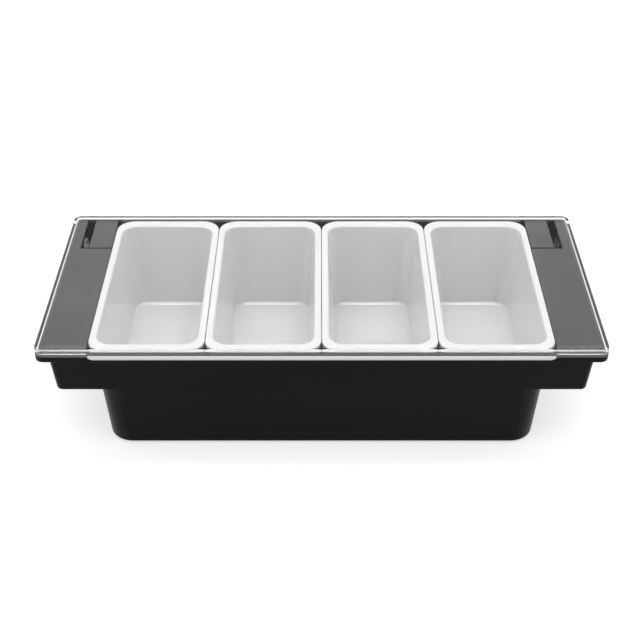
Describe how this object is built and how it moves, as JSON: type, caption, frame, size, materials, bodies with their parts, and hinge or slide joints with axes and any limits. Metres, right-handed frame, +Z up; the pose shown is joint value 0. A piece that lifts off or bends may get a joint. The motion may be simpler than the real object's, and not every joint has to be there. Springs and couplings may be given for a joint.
{
  "type": "condiment caddy",
  "caption": "Black stepped bar caddy with white lift-out condiment inserts in a row under one clear hinged lid with a long finger lip.",
  "frame": {"origin": "on the surface the caddy stands on, under the middle of its whole outline", "axes": "+X along the row of inserts, +Y from the finger lip to the hinge side, +Z up"},
  "size_m": [0.48, 0.2264, 0.1151],
  "materials": {
    "black_plastic": "glossy moulded black",
    "white_plastic": "semi-gloss moulded white",
    "clear_plastic": "clear polished",
    "steel": "plain steel",
    "rubber": "matt black rubber"
  },
  "bodies": {
    "base": {"body_tub": "black_plastic", "deck_frame": "black_plastic", "hinge_block_left": "black_plastic", "hinge_block_right": "black_plastic", "hinge_pin_left": "steel", "hinge_pin_right": "steel", "insert_1": "white_plastic", "insert_2": "white_plastic", "insert_3": "white_plastic", "insert_4": "white_plastic", "frame_screw_1": "steel", "frame_screw_2": "steel", "frame_screw_3": "steel", "frame_screw_4": "steel", "block_screw_left": "steel", "block_screw_right": "steel", "foot_1": "rubber", "foot_2": "rubber", "foot_3": "rubber", "foot_4": "rubber"},
    "lid": {"lid": "clear_plastic"}
  },
  "joints": [
    {"name": "lid_hinge", "type": "hinge", "parent": "base", "child": "lid", "pos_m": [0, 0.1024, 0.0879], "axis": [-1, 0, 0], "range_deg": [0, 100]}
  ]
}
